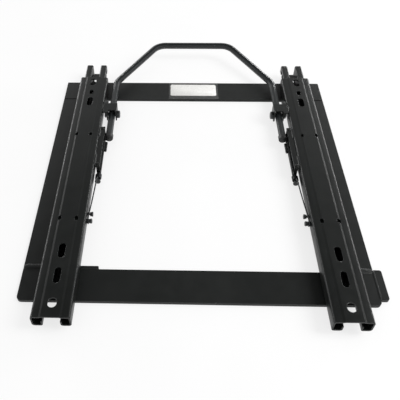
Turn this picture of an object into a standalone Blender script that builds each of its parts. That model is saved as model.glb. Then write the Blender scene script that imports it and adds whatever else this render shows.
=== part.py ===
"""Seat slide rail: a welded ladder frame that carries two sliding seat rails.

Each slider is a fixed lower rail and a moving upper rail of folded sheet, hooked into each other and
running on balls in cages. The lower rail's inboard lip is a rack of lock notches. A bent tube at the
front turns two toothed latches out of the racks.

Axes: +X to the right, +Y to the front of the seat, +Z up, in metres. The origin is the middle of the
bounding box, at its bottom. Inside the script y = 0 is the rear edge of the frame, x = 0 its middle.
Across a rail, an offset is measured from the rail's centre towards the middle of the frame, and a
height from the rail's underside.
"""

import math

import bmesh
import bpy
from mathutils import Matrix, Vector

MM = 0.001
LEFT, RIGHT = -1, 1
SIDE_NAMES = {LEFT: "left", RIGHT: "right"}

# Clearance between pieces that rest on or pass through each other
GAP = 0.3 * MM

# Ladder frame: two cross bars, two side plates, a gusset and a tab
FRAME_LENGTH = 477.4 * MM
FRAME_WIDTH = 470 * MM
BAR_WIDTH = 50 * MM
SIDE_PLATE_WIDTH = 62 * MM
FRAME_PLATE = 5 * MM
BAR_CORNER = 6 * MM
PLATE_EDGE = 0.5 * MM
GUSSET_LENGTH = 39.7 * MM
GUSSET_WIDTH = 4.9 * MM
TAB_REACH = 11 * MM
TAB_START = 8.4 * MM
TAB_WIDTH = 46.5 * MM
TAB_CORNER = 3 * MM

# Sliders: the pair stands a little to the right of the frame's middle
SLIDER_INSET = 52 * MM
SLIDER_SHIFT = 2.5 * MM
RAIL_LENGTH = 497.5 * MM
LOWER_RAIL_START = 5 * MM
CARRIAGE_SETBACK = 44 * MM
SHEET = 2 * MM

# Lower rail section, outer faces
CHANNEL_HALF = 9 * MM
LOWER_HEIGHT = 21.3 * MM
LOWER_LIP_HALF = 18.7 * MM
LOWER_LIP_BOTTOM = 8.6 * MM
LOWER_CHAMFER = 0.9 * MM
LOWER_BENDS = (1.6 * MM, 1.6 * MM, 1.2 * MM, 1.2 * MM)

# Upper rail section, outer faces
WEB_CLEARANCE = 1.4 * MM
BEAD_RISE = 1 * MM
BEAD_HALF = 11.2 * MM
BEAD_SLOPE = 2.8 * MM
UPPER_HALF = 24.8 * MM
HOOK_BOTTOM = 4.9 * MM
UPPER_LIP_HALF = 11 * MM
UPPER_LIP_TOP = 14.2 * MM
TOP_BEND = 2.5 * MM
HOOK_BEND = 3 * MM
LIP_BEND = 2 * MM
BEAD_BEND = 1 * MM
BEND_STEPS = 3

# Openings in the upper rail: offset, distance from the rail's rear or front end, width, length
REAR_OPENINGS = {
    "end hole": (0, 20.4 * MM, 11.5 * MM, 14 * MM),
    "end slot": (0, 61 * MM, 9 * MM, 24.5 * MM),
    "middle slot": (0, 100.6 * MM, 9.5 * MM, 24 * MM),
    "outer tab hole": (-11.7 * MM, 157.4 * MM, 5.5 * MM, 8.5 * MM),
    "inner tab hole": (11.7 * MM, 157.4 * MM, 5.5 * MM, 8.5 * MM),
}
FRONT_OPENINGS = {
    "outer tab hole": (-11.2 * MM, 159.5 * MM, 4.8 * MM, 8 * MM),
    "inner tab hole": (11.2 * MM, 159.5 * MM, 4.8 * MM, 8 * MM),
    "end slot": (0, 73.1 * MM, 10 * MM, 23 * MM),
    "small hole": (0, 46.1 * MM, 7.5 * MM, 12 * MM),
    "end hole": (0, 16.1 * MM, 10.5 * MM, 21 * MM),
}
HOLE_SEGMENTS = 20

# Rack of lock notches in the lower rail's inboard lip, and the hole in its front end
NOTCH_PITCH = 12.5 * MM
NOTCH_WIDTH = 7 * MM
NOTCH_TOP = 17.5 * MM
NOTCH_END_MARGIN = 8 * MM
LOWER_HOLE_FROM_FRONT = 20.7 * MM
LOWER_HOLE_DIAMETER = 11 * MM

# Screws and nuts that hold the lower rails to the cross bars
SCREW_DIAMETER = 8 * MM
SCREW_HEAD_DIAMETER = 15 * MM
SCREW_HEAD_HEIGHT = 3.5 * MM
SCREW_RECESS = 0.2 * MM
SCREW_END_ABOVE_NUT = 1 * MM
NUT_ACROSS_FLATS = 13 * MM
NUT_HEIGHT = 6.5 * MM

# Balls and cages, in the corners between the lower rail's lips and the upper rail's hooks
BALL_RADIUS = 1.75 * MM
CAGE_OFFSETS = (19.85 * MM, 21.65 * MM)
CAGE_HEIGHTS = (10.7 * MM, 18.9 * MM)
SHORT_CAGE_LENGTH = 30 * MM
BALL_INSET = 10 * MM
REAR_BALLS_FROM_REAR = 105.4 * MM
FRONT_BALLS_FROM_FRONT = 52.1 * MM

# Release handle: one bent tube with a cap on each end
TUBE_DIAMETER = 11.8 * MM
TUBE_WALL = 1.5 * MM
TUBE_HEIGHT = 13.3 * MM
LEG_FROM_RAIL = 39.7 * MM
PIVOT_FROM_FRONT = 93.1 * MM
TAIL_LENGTH = 62 * MM
LEG_LENGTH = 92 * MM
HANDLE_REACH = 106.3 * MM
HANDLE_RISE = 12.8 * MM
GRIP_HALF = 68.5 * MM
LEG_BEND = 32 * MM
GRIP_BEND = 28 * MM
TUBE_BEND_STEPS = 6
CAP_WALL = 0.9 * MM
CAP_LENGTH = 6.5 * MM
CAP_DOME = 2.4 * MM

# Pivot brackets, bolts and nuts of the handle
PIVOT_BOLT_DIAMETER = 6 * MM
PIVOT_HEAD_DIAMETER = 13 * MM
PIVOT_HEAD_HEIGHT = 5 * MM
PIVOT_NUT_FLATS = 10 * MM
PIVOT_NUT_HEIGHT = 3.4 * MM
SADDLE_SHEET = 2.2 * MM
SADDLE_BEHIND = 8 * MM
SADDLE_AHEAD = 16.5 * MM
SADDLE_CUT_BEHIND = 3 * MM
SADDLE_HEADROOM = 3.4 * MM
SADDLE_SIDE_ROOM = 0.6 * MM
SADDLE_EAR_BOTTOM = 6.2 * MM

# Latches: a toothed plate on a pin beside each rail, pressed by the tube through an arm
LATCH_RELEASE = math.radians(16)
LATCH_SHEET = 2.2 * MM
LATCH_LENGTH = 86 * MM
LATCH_PLATE_LENGTH = 66 * MM
LATCH_BEHIND_PIVOT = 48 * MM
PIN_FROM_RAIL = 30 * MM
PIN_HEIGHT = 3.7 * MM
PIN_DIAMETER = 4 * MM
BARREL_RADIUS = 3.5 * MM
TOOTH_HEIGHT = 12.1 * MM
TOOTH_TIP = 17.2 * MM
TOOTH_WIDTH = 6 * MM
TOOTH_COUNT = 3
TEETH_BEHIND_PIVOT = 88.5 * MM
PLATE_ABOVE_TEETH = 0.4 * MM
WINDOW_SIDE_ROOM = 1 * MM
WINDOW_HEIGHTS = (10.7 * MM, 19.5 * MM)
ARM_WIDTH = 6.5 * MM
ARM_END = 42 * MM
ARM_BELOW_TUBE = 0.7 * MM
HANGER_SHEET = 2.5 * MM
HANGER_TOP = 21.9 * MM
HANGER_OVERHANG = 1.5 * MM
HANGER_EDGE = 33 * MM
EAR_OFFSETS = (27 * MM, 32.7 * MM)
EAR_BOTTOM = 0.8 * MM

# Return springs and their anchor studs
SPRING_WIRE = 2 * MM
SPRING_COIL_RADIUS = 4 * MM
SPRING_TURNS = 4
SPRING_POINTS_PER_TURN = 8
SPRING_ROOM = 16 * MM
SPRING_EYE_RADIUS = 3.5 * MM
SPRING_EYE_POINTS = 8
COLLAR_HEIGHT = 1.6 * MM
ANCHOR_BEHIND_PIVOT = 242 * MM
ANCHOR_HEIGHT = 13 * MM
STUD_NECK_RADIUS = 2 * MM
STUD_HEAD_RADIUS = 3.6 * MM
STUD_HEAD_HEIGHT = 2.2 * MM
STUD_LENGTH = 5 * MM
ROUND_SEGMENTS = 20

# Heights and places that follow from the sizes above
RAIL_BASE = FRAME_PLATE + GAP
WEB_TOP = LOWER_HEIGHT + WEB_CLEARANCE + SHEET
BEAD_TOP = WEB_TOP + BEAD_RISE
HOOK_FLOOR = HOOK_BOTTOM + SHEET
WALL_TOP = WEB_TOP - SHEET / 2
WALL_BOTTOM = HOOK_BOTTOM + SHEET / 2
WELDED_FROM = UPPER_HALF + GAP
SLIDER_SPACING = FRAME_WIDTH - 2 * SLIDER_INSET
UPPER_REAR = LOWER_RAIL_START - CARRIAGE_SETBACK
UPPER_FRONT = UPPER_REAR + RAIL_LENGTH
LOWER_FRONT = LOWER_RAIL_START + RAIL_LENGTH
PIVOT_Y = UPPER_FRONT - PIVOT_FROM_FRONT
HANDLE_FRONT = PIVOT_Y + LEG_LENGTH + HANDLE_REACH + TUBE_DIAMETER / 2
LATCH_FRONT = PIVOT_Y - LATCH_BEHIND_PIVOT
LATCH_REAR = LATCH_FRONT - LATCH_LENGTH
HANGER_REAR = LATCH_REAR - GAP - HANGER_SHEET
HANGER_FRONT = LATCH_FRONT + GAP + HANGER_SHEET
TEETH_Y = PIVOT_Y - TEETH_BEHIND_PIVOT
ANCHOR_Y = PIVOT_Y - ANCHOR_BEHIND_PIVOT
REAR_BALLS = UPPER_REAR + REAR_BALLS_FROM_REAR
FRONT_BALLS = UPPER_FRONT - FRONT_BALLS_FROM_FRONT
CENTRE_X = TAB_REACH / 2 + GAP / 2
CENTRE_Y = (UPPER_REAR + HANDLE_FRONT) / 2


def make_collection(name):
    collection = bpy.data.collections.new(name)
    bpy.context.scene.collection.children.link(collection)
    return collection


def set_up():
    """Clears the scene and makes the collections and the empty that holds the origin."""
    for obj in list(bpy.data.objects):
        bpy.data.objects.remove(obj)
    parts = make_collection("Seat slide rail")
    cutters = make_collection("Cutters")
    cutters.hide_render = True
    origin = bpy.data.objects.new("origin", None)
    origin.location = (-CENTRE_X, -CENTRE_Y, 0)
    parts.objects.link(origin)
    return parts, cutters, origin


PARTS, CUTTERS, ORIGIN = set_up()


def material_of(name, colour, roughness, metallic):
    """The Principled material of one piece."""
    material = bpy.data.materials.new(name)
    material.use_nodes = True
    shader = material.node_tree.nodes["Principled BSDF"]
    shader.inputs["Base Color"].default_value = (*colour, 1)
    shader.inputs["Roughness"].default_value = roughness
    shader.inputs["Metallic"].default_value = metallic
    material.diffuse_color = (*colour, 1)
    return material


COATED = ((0.032, 0.034, 0.034), 0.42, 0.0)
ZINC = ((0.10, 0.10, 0.105), 0.38, 0.9)
BRIGHT = ((0.55, 0.55, 0.56), 0.2, 1.0)
SPRING_STEEL = ((0.04, 0.04, 0.042), 0.4, 0.6)
PLASTIC = ((0.018, 0.018, 0.019), 0.5, 0.0)
CAGE_PLASTIC = ((0.55, 0.54, 0.50), 0.55, 0.0)


def rail_centre(side):
    return SLIDER_SHIFT + side * SLIDER_SPACING / 2


def inboard(side, offset):
    """The x of a point at this offset from the rail's centre, towards the middle of the frame."""
    return rail_centre(side) - side * offset


def span(side, near, far):
    """The x range between two offsets, low end first."""
    return sorted((inboard(side, near), inboard(side, far)))


def place(obj, look, name, smooth=False, parent=None):
    """Names a piece, gives it its material and hangs it on the origin or on the parent given."""
    obj.name = name
    obj.data.name = name
    obj.data.materials.clear()
    obj.data.materials.append(material_of(name, *look))
    obj.parent = parent or ORIGIN
    if smooth:
        obj.data.shade_smooth()
        obj.data.set_sharp_from_angle(angle=math.radians(40))
    return obj


def new_object(name, data, collection):
    obj = bpy.data.objects.new(name, data)
    collection.objects.link(obj)
    return obj


def mesh_object(name, build, collection):
    mesh = bpy.data.meshes.new(name)
    shape = bmesh.new()
    build(shape)
    shape.to_mesh(mesh)
    shape.free()
    return new_object(name, mesh, collection)


def box(name, low, high, collection):
    low, high = Vector(low), Vector(high)

    def build(shape):
        bmesh.ops.create_cube(shape, size=1)
        bmesh.ops.scale(shape, vec=high - low, verts=shape.verts)

    obj = mesh_object(name, build, collection)
    obj.location = (low + high) / 2
    return obj


def round_slot(name, centre, width, length, depth):
    """A cutter with round ends, upright, long in Y: a cylinder drawn out along its middle."""
    stretch = (length - width) / 2

    def build(shape):
        bmesh.ops.create_cone(
            shape, cap_ends=True, segments=HOLE_SEGMENTS, radius1=width / 2, radius2=width / 2, depth=depth
        )
        turn = Matrix.Rotation(math.pi / HOLE_SEGMENTS, 3, "Z")
        bmesh.ops.rotate(shape, cent=(0, 0, 0), matrix=turn, verts=shape.verts)
        for vert in shape.verts:
            vert.co.y += math.copysign(stretch, vert.co.y)

    obj = mesh_object(name, build, CUTTERS)
    obj.location = centre
    return obj


def cylinder(name, centre, radius, depth, axis, collection, segments=ROUND_SEGMENTS, radius_end=None):
    turn = {"X": Matrix.Rotation(math.pi / 2, 3, "Y"), "Y": Matrix.Rotation(math.pi / 2, 3, "X")}
    end = radius if radius_end is None else radius_end

    def build(shape):
        bmesh.ops.create_cone(shape, cap_ends=True, segments=segments, radius1=radius, radius2=end, depth=depth)
        if axis in turn:
            bmesh.ops.rotate(shape, cent=(0, 0, 0), matrix=turn[axis], verts=shape.verts)

    obj = mesh_object(name, build, collection)
    obj.location = centre
    return obj


def apply_boolean(obj, others, operation):
    """Adds one Boolean against a collection of helper objects."""
    group = bpy.data.collections.new(obj.name + " " + operation.lower())
    CUTTERS.children.link(group)
    for other in others:
        CUTTERS.objects.unlink(other)
        group.objects.link(other)
        other.hide_render = True
        other.display_type = "WIRE"
        if other.parent is None:
            other.parent = ORIGIN
    modifier = obj.modifiers.new(operation.title(), "BOOLEAN")
    modifier.operation = operation
    modifier.operand_type = "COLLECTION"
    modifier.collection = group
    modifier.solver = "EXACT"


def cut(obj, cutters):
    apply_boolean(obj, list(cutters), "DIFFERENCE")


def join(obj, pieces):
    apply_boolean(obj, list(pieces), "UNION")


def bevel(obj, width):
    modifier = obj.modifiers.new("Edges", "BEVEL")
    modifier.width = width
    modifier.segments = 1
    modifier.limit_method = "ANGLE"
    modifier.angle_limit = math.radians(50)


def rounded(points, radii, steps):
    """A polyline, in 2D or 3D, whose inner corners are replaced by arcs of the radii given."""
    points = [Vector(point) for point in points]
    path = [points[0]]
    for before, corner, after, radius in zip(points, points[1:], points[2:], radii):
        back = (before - corner).normalized()
        ahead = (after - corner).normalized()
        half = back.angle(ahead) / 2
        tangent = radius / math.tan(half)
        centre = corner + (back + ahead).normalized() * (radius / math.sin(half))
        sweep = math.pi - 2 * half
        start = (corner + back * tangent - centre).normalized()
        across = (corner - centre).normalized()
        across = (across - start * across.dot(start)).normalized()
        for step in range(steps + 1):
            angle = sweep * step / steps
            path.append(centre + (start * math.cos(angle) + across * math.sin(angle)) * radius)
    path.append(points[-1])
    return path


def corner_loop(low, high, radii, steps=4):
    """A rectangle, counter-clockwise from its low corner, with a radius at each corner."""
    corners = [(low[0], low[1]), (high[0], low[1]), (high[0], high[1]), (low[0], high[1])]
    middle = ((low[0] + high[0]) / 2, low[1])
    return rounded([middle, *corners[1:], corners[0], middle], [*radii[1:], radii[0]], steps)[:-1]


def curve_to_mesh(source, name):
    """Makes a curve object a mesh object with its caps welded, at the curve's place."""
    bpy.context.view_layer.update()
    graph = bpy.context.evaluated_depsgraph_get()
    mesh = bpy.data.meshes.new_from_object(source.evaluated_get(graph))
    shape = bmesh.new()
    shape.from_mesh(mesh)
    bmesh.ops.remove_doubles(shape, verts=shape.verts, dist=1e-6)
    bmesh.ops.recalc_face_normals(shape, faces=shape.faces)
    shape.to_mesh(mesh)
    shape.free()
    obj = new_object(name, mesh, source.users_collection[0])
    obj.matrix_world = source.matrix_world.copy()
    bpy.data.objects.remove(source)
    return obj


def outline_solid(name, loops, start, end, plane, collection):
    """A flat outline, with any holes, as a filled 2D curve with thickness, made a mesh.

    Plane XY stands up along Z from start to end. Plane XZ runs along Y from start to end.
    """
    curve = bpy.data.curves.new(name, "CURVE")
    curve.dimensions = "2D"
    curve.fill_mode = "BOTH"
    curve.extrude = (end - start) / 2
    for loop in loops:
        spline = curve.splines.new("POLY")
        spline.points.add(len(loop) - 1)
        for point, place_at in zip(spline.points, loop):
            point.co = (place_at[0], place_at[1], 0, 1)
        spline.use_cyclic_u = True
    source = new_object(name + " outline", curve, collection)
    if plane == "XZ":
        source.rotation_euler = (math.pi / 2, 0, 0)
        source.location = (0, (start + end) / 2, 0)
    else:
        source.location = (0, 0, (start + end) / 2)
    return curve_to_mesh(source, name)


def wire(name, points, diameter, collection):
    """A round wire or tube along a list of points, as a mesh."""
    curve = bpy.data.curves.new(name, "CURVE")
    curve.dimensions = "3D"
    curve.bevel_depth = diameter / 2
    curve.bevel_resolution = 2
    curve.use_fill_caps = True
    spline = curve.splines.new("POLY")
    spline.points.add(len(points) - 1)
    for point, place_at in zip(spline.points, points):
        point.co = (*place_at, 1)
    return curve_to_mesh(new_object(name + " path", curve, collection), name)


def turned(name, profile, segments=ROUND_SEGMENTS):
    """A solid of revolution about Z from a profile that runs down its outer side, top to bottom."""
    mesh = bpy.data.meshes.new(name)
    edges = [(i, i + 1) for i in range(len(profile) - 1)]
    mesh.from_pydata([(radius, 0, height) for radius, height in profile], edges, [])
    obj = new_object(name, mesh, PARTS)
    screw = obj.modifiers.new("Turn", "SCREW")
    screw.steps = segments
    screw.render_steps = segments
    screw.use_merge_vertices = True
    screw.merge_threshold = 1e-5
    screw.use_smooth_shade = False
    return obj


def folded_sheet(name, section, length, thickness):
    """A sheet folded to a section in X and Z, running along Y: an open surface with Solidify."""

    def build(shape):
        rear = [shape.verts.new((point[0], 0, point[1])) for point in section]
        for a, b in zip(rear, rear[1:]):
            shape.edges.new((a, b))
        grown = bmesh.ops.extrude_edge_only(shape, edges=shape.edges[:])
        moved = [item for item in grown["geom"] if isinstance(item, bmesh.types.BMVert)]
        bmesh.ops.translate(shape, vec=(0, length, 0), verts=moved)
        bmesh.ops.recalc_face_normals(shape, faces=shape.faces)

    obj = mesh_object(name, build, PARTS)
    sheet = obj.modifiers.new("Sheet", "SOLIDIFY")
    sheet.thickness = thickness
    sheet.offset = 0
    sheet.use_even_offset = True
    return obj


def mirrored(right):
    """A whole section from the points of its right half."""
    return [(-x, z) for x, z in reversed(right)] + right


def lower_section():
    """The middle line of the lower rail: a channel whose walls fold out and down into two lips."""
    half = SHEET / 2
    wall = CHANNEL_HALF - half
    top = LOWER_HEIGHT - half
    lip = LOWER_LIP_HALF - half
    right = [
        (wall, half),
        (wall, top),
        (lip - LOWER_CHAMFER, top),
        (lip, top - LOWER_CHAMFER),
        (lip, LOWER_LIP_BOTTOM),
    ]
    radii = list(LOWER_BENDS)
    return rounded(mirrored(right), radii[::-1] + radii, BEND_STEPS)


def upper_section():
    """The middle line of the upper rail: a beaded web, two walls and two hooks turned in and up."""
    half = SHEET / 2
    lip = UPPER_LIP_HALF + half
    right = [
        (BEAD_HALF, BEAD_TOP - half),
        (BEAD_HALF + BEAD_SLOPE, WALL_TOP),
        (UPPER_HALF - half, WALL_TOP),
        (UPPER_HALF - half, WALL_BOTTOM),
        (lip, WALL_BOTTOM),
        (lip, UPPER_LIP_TOP),
    ]
    radii = [BEAD_BEND, BEAD_BEND, TOP_BEND, HOOK_BEND, LIP_BEND]
    return rounded(mirrored(right), radii[::-1] + radii, BEND_STEPS)


def screw_places():
    """The side, end, x and y of each rail screw: on a rail's centre, in the middle of a cross bar."""
    for side in (LEFT, RIGHT):
        for end, y in (("rear", BAR_WIDTH / 2), ("front", FRAME_LENGTH - BAR_WIDTH / 2)):
            yield side, end, rail_centre(side), y


def countersunk_hole(x, y):
    """Cutters for a screw that comes up through a cross bar: its shank and its conical head."""
    yield cylinder(
        "shank hole", (x, y, FRAME_PLATE / 2), SCREW_DIAMETER / 2 + GAP, 3 * FRAME_PLATE, "Z", CUTTERS
    )
    overrun = 1 * MM
    slope = (SCREW_HEAD_DIAMETER - SCREW_DIAMETER) / 2 / SCREW_HEAD_HEIGHT
    yield cylinder(
        "head hole",
        (x, y, SCREW_RECESS + (SCREW_HEAD_HEIGHT - overrun) / 2),
        SCREW_HEAD_DIAMETER / 2 + GAP + overrun * slope,
        SCREW_HEAD_HEIGHT + overrun,
        "Z",
        CUTTERS,
        radius_end=SCREW_DIAMETER / 2 + GAP,
    )


def frame_plate(name, xs, ys, corners):
    """A flat plate of the ladder frame with rounded corners and softened edges."""
    low_x, high_x = sorted(xs)
    loop = corner_loop((low_x, ys[0]), (high_x, ys[1]), corners)
    plate = place(outline_solid(name, [loop], 0, FRAME_PLATE, "XY", PARTS), COATED, name)
    bevel(plate, PLATE_EDGE)
    return plate


def build_frame():
    half = FRAME_WIDTH / 2
    front = FRAME_LENGTH - BAR_WIDTH
    square = 1 * MM
    bars = {
        "rear": (0, BAR_WIDTH, (BAR_CORNER, BAR_CORNER, square, square)),
        "front": (front, FRAME_LENGTH, (square, square, square, square)),
    }
    for end, (low, high, corners) in bars.items():
        bar = frame_plate(end + "_cross_bar", (-half, half), (low, high), corners)
        cut(bar, [hole for _, at, x, y in screw_places() if at == end for hole in countersunk_hole(x, y)])
    inner = half - SIDE_PLATE_WIDTH
    for side in (LEFT, RIGHT):
        name = SIDE_NAMES[side] + "_side_plate"
        frame_plate(name, (side * half, side * inner), (BAR_WIDTH + GAP, front - GAP), (square,) * 4)
    frame_plate(
        "left_rear_gusset",
        (GAP - inner, GAP - inner + GUSSET_LENGTH),
        (BAR_WIDTH + GAP, BAR_WIDTH + GAP + GUSSET_WIDTH),
        (square,) * 4,
    )
    frame_plate(
        "right_rear_tab",
        (half + GAP, half + GAP + TAB_REACH),
        (TAB_START, TAB_START + TAB_WIDTH),
        (square, TAB_CORNER, TAB_CORNER, square),
    )


def notch_cutters(side):
    """Notches, open downwards, along the inboard lip of the lower rail, in step with the teeth."""
    rear, front = LOWER_RAIL_START + NOTCH_END_MARGIN, LOWER_FRONT - NOTCH_END_MARGIN
    first = -int((TEETH_Y - rear) / NOTCH_PITCH)
    last = int((front - TEETH_Y) / NOTCH_PITCH)
    near, far = span(side, LOWER_LIP_HALF - 1.5 * SHEET, LOWER_LIP_HALF + SHEET / 2)
    for index in range(first, last + 1):
        y = TEETH_Y + index * NOTCH_PITCH
        low = (near, y - NOTCH_WIDTH / 2, RAIL_BASE + LOWER_LIP_BOTTOM - SHEET / 2)
        yield box("notch", low, (far, y + NOTCH_WIDTH / 2, RAIL_BASE + NOTCH_TOP), CUTTERS)


def build_lower_rail(side):
    rail = folded_sheet("lower", lower_section(), RAIL_LENGTH, SHEET)
    place(rail, COATED, SIDE_NAMES[side] + "_lower_rail", smooth=True)
    rail.location = (rail_centre(side), LOWER_RAIL_START, RAIL_BASE)
    holes = [
        cylinder("rail hole", (x, y, RAIL_BASE), SCREW_DIAMETER / 2 + GAP, 4 * SHEET, "Z", CUTTERS)
        for at, _, x, y in screw_places()
        if at == side
    ]
    front_hole = (rail_centre(side), LOWER_FRONT - LOWER_HOLE_FROM_FRONT, RAIL_BASE)
    holes.append(cylinder("front hole", front_hole, LOWER_HOLE_DIAMETER / 2, 4 * SHEET, "Z", CUTTERS))
    cut(rail, [*holes, *notch_cutters(side)])


def web_openings(side):
    """Cutters for the openings in the upper rail's web."""
    z = RAIL_BASE + BEAD_TOP
    places = [(offset, UPPER_REAR + at, w, n) for offset, at, w, n in REAR_OPENINGS.values()]
    places += [(offset, UPPER_FRONT - at, w, n) for offset, at, w, n in FRONT_OPENINGS.values()]
    for offset, y, width, length in places:
        yield round_slot("web opening", (inboard(side, offset), y, z), width, length, 4 * SHEET)


def tooth_places():
    return [TEETH_Y + (index - (TOOTH_COUNT - 1) / 2) * NOTCH_PITCH for index in range(TOOTH_COUNT)]


def window_cutters(side):
    """Windows in the inboard wall of the upper rail, one for each tooth."""
    half = TOOTH_WIDTH / 2 + WINDOW_SIDE_ROOM
    near, far = span(side, LOWER_LIP_HALF + GAP, UPPER_HALF + SHEET)
    bottom, top = (RAIL_BASE + height for height in WINDOW_HEIGHTS)
    for y in tooth_places():
        yield box("window", (near, y - half, bottom), (far, y + half, top), CUTTERS)


def build_upper_rail(side):
    rail = folded_sheet("upper", upper_section(), RAIL_LENGTH, SHEET)
    place(rail, COATED, SIDE_NAMES[side] + "_upper_rail", smooth=True)
    rail.location = (rail_centre(side), UPPER_REAR, RAIL_BASE)
    cut(rail, [*web_openings(side), *window_cutters(side)])


def hex_nut(name, centre, flats, height, hole, axis):
    """A hexagon nut with a plain bore."""
    nut = cylinder(name, centre, flats / 2 / math.cos(math.pi / 6), height, axis, PARTS, segments=6)
    place(nut, ZINC, name)
    cut(nut, [cylinder("nut bore", centre, hole, 2 * height, axis, CUTTERS)])


def build_screws():
    """Countersunk screws that come up through the cross bars, with their nuts in the rails' channels."""
    nut_bottom = SHEET + GAP + RAIL_BASE
    end = nut_bottom + NUT_HEIGHT + SCREW_END_ABOVE_NUT
    shank, chamfer = SCREW_DIAMETER / 2, 0.8 * MM
    profile = [
        (0, end),
        (shank - chamfer, end),
        (shank, end - chamfer),
        (shank, SCREW_RECESS + SCREW_HEAD_HEIGHT),
        (SCREW_HEAD_DIAMETER / 2, SCREW_RECESS),
        (0, SCREW_RECESS),
    ]
    for side, at, x, y in screw_places():
        name = SIDE_NAMES[side] + "_" + at + "_rail_"
        place(turned(name + "screw", profile), ZINC, name + "screw").location = (x, y, 0)
        centre = (x, y, nut_bottom + NUT_HEIGHT / 2)
        hex_nut(name + "nut", centre, NUT_ACROSS_FLATS, NUT_HEIGHT, shank + GAP, "Z")


def ball_centres():
    """Offset and height of the two balls at a station: under the web's corner and in the hook."""
    reach = GAP + BALL_RADIUS
    offset = UPPER_HALF - SHEET - reach
    return {"upper": (offset, WEB_TOP - SHEET - reach), "lower": (offset, HOOK_FLOOR + reach)}


def sphere(name, centre, radius, collection):
    def build(shape):
        bmesh.ops.create_uvsphere(shape, u_segments=12, v_segments=8, radius=radius)

    obj = mesh_object(name, build, collection)
    obj.location = centre
    return obj


def build_cage(side, flank, label, rear, front, stations):
    """A strip beside a lip of the lower rail, hollowed where the balls run, with its balls."""
    (near, far), (bottom, top) = CAGE_OFFSETS, CAGE_HEIGHTS
    section = [(near, bottom), (far, bottom), (far, top), (near, top)]
    loop = [(inboard(side, flank * offset), RAIL_BASE + height) for offset, height in section]
    name = SIDE_NAMES[side] + "_" + label
    cage = place(outline_solid(name + "_cage", [loop], rear, front, "XZ", PARTS), CAGE_PLASTIC, name + "_cage")
    hollows = []
    for end, y in stations.items():
        for row, (offset, height) in ball_centres().items():
            centre = (inboard(side, flank * offset), y, RAIL_BASE + height)
            hollows.append(sphere("ball hollow", centre, BALL_RADIUS + GAP, CUTTERS))
            ball_name = "_".join([SIDE_NAMES[side], label.split("_")[0], end, row, "ball"])
            place(sphere(ball_name, centre, BALL_RADIUS, PARTS), BRIGHT, ball_name, smooth=True)
    cut(cage, hollows)


def build_cages(side):
    """One long cage on the outboard side, and inboard a short one on each side of the latch teeth."""
    half = SHORT_CAGE_LENGTH / 2
    both = {"rear": REAR_BALLS, "front": FRONT_BALLS}
    build_cage(side, -1, "outer", REAR_BALLS - BALL_INSET, FRONT_BALLS + BALL_INSET, both)
    for end, y in both.items():
        build_cage(side, 1, "inner_" + end, y - half, y + half, {end: y})


def leg_x(side):
    return SLIDER_SHIFT + side * (SLIDER_SPACING / 2 - LEG_FROM_RAIL)


def handle_path(overrun):
    """The middle line of the handle, with its two ends drawn out by an overrun."""
    bend_y = PIVOT_Y + LEG_LENGTH
    grip_y = bend_y + HANDLE_REACH
    tail_y = PIVOT_Y - TAIL_LENGTH - overrun
    height = RAIL_BASE + TUBE_HEIGHT
    corners = [
        (leg_x(LEFT), tail_y, height),
        (leg_x(LEFT), bend_y, height),
        (SLIDER_SHIFT - GRIP_HALF, grip_y, height + HANDLE_RISE),
        (SLIDER_SHIFT + GRIP_HALF, grip_y, height + HANDLE_RISE),
        (leg_x(RIGHT), bend_y, height),
        (leg_x(RIGHT), tail_y, height),
    ]
    return rounded(corners, [LEG_BEND, GRIP_BEND, GRIP_BEND, LEG_BEND], TUBE_BEND_STEPS)


def build_handle():
    """The release handle: a leg beside each rail, bent in and up to a grip across the front.

    Its pieces hang on an empty that stands on the pivot axis.
    """
    height = RAIL_BASE + TUBE_HEIGHT
    hinge = new_object("handle_pivot", None, PARTS)
    hinge.parent = ORIGIN
    hinge.location = (0, PIVOT_Y, height)
    tube = wire("handle_tube", handle_path(0), TUBE_DIAMETER, PARTS)
    place(tube, COATED, "handle_tube", smooth=True, parent=hinge)
    tube.location = (0, -PIVOT_Y, -height)
    bore = wire("tube bore", handle_path(2 * MM), TUBE_DIAMETER - 2 * TUBE_WALL, CUTTERS)
    hole_radius = PIVOT_BOLT_DIAMETER / 2 + GAP
    cutters = [bore]
    for side in (LEFT, RIGHT):
        centre = (leg_x(side), PIVOT_Y, height)
        cutters.append(cylinder("pivot hole", centre, hole_radius, 2 * TUBE_DIAMETER, "X", CUTTERS))
    cut(tube, cutters)
    for side in (LEFT, RIGHT):
        build_end_cap(side, hinge)


def build_end_cap(side, hinge):
    """A domed plastic cup pushed over the rear end of a leg."""
    bore = TUBE_DIAMETER / 2 + GAP
    outer = bore + CAP_WALL
    profile = [
        (0, -GAP),
        (bore, -GAP),
        (bore, CAP_LENGTH),
        (outer, CAP_LENGTH),
        (outer, -CAP_WALL),
        (0.8 * outer, -CAP_WALL - 0.6 * CAP_DOME),
        (0.45 * outer, -CAP_WALL - 0.92 * CAP_DOME),
        (0, -CAP_WALL - CAP_DOME),
    ]
    name = SIDE_NAMES[side] + "_handle_cap"
    cap = place(turned(name, profile), PLASTIC, name, parent=hinge)
    cap.rotation_euler = (-math.pi / 2, 0, 0)
    cap.location = (leg_x(side), -TAIL_LENGTH, 0)


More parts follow.
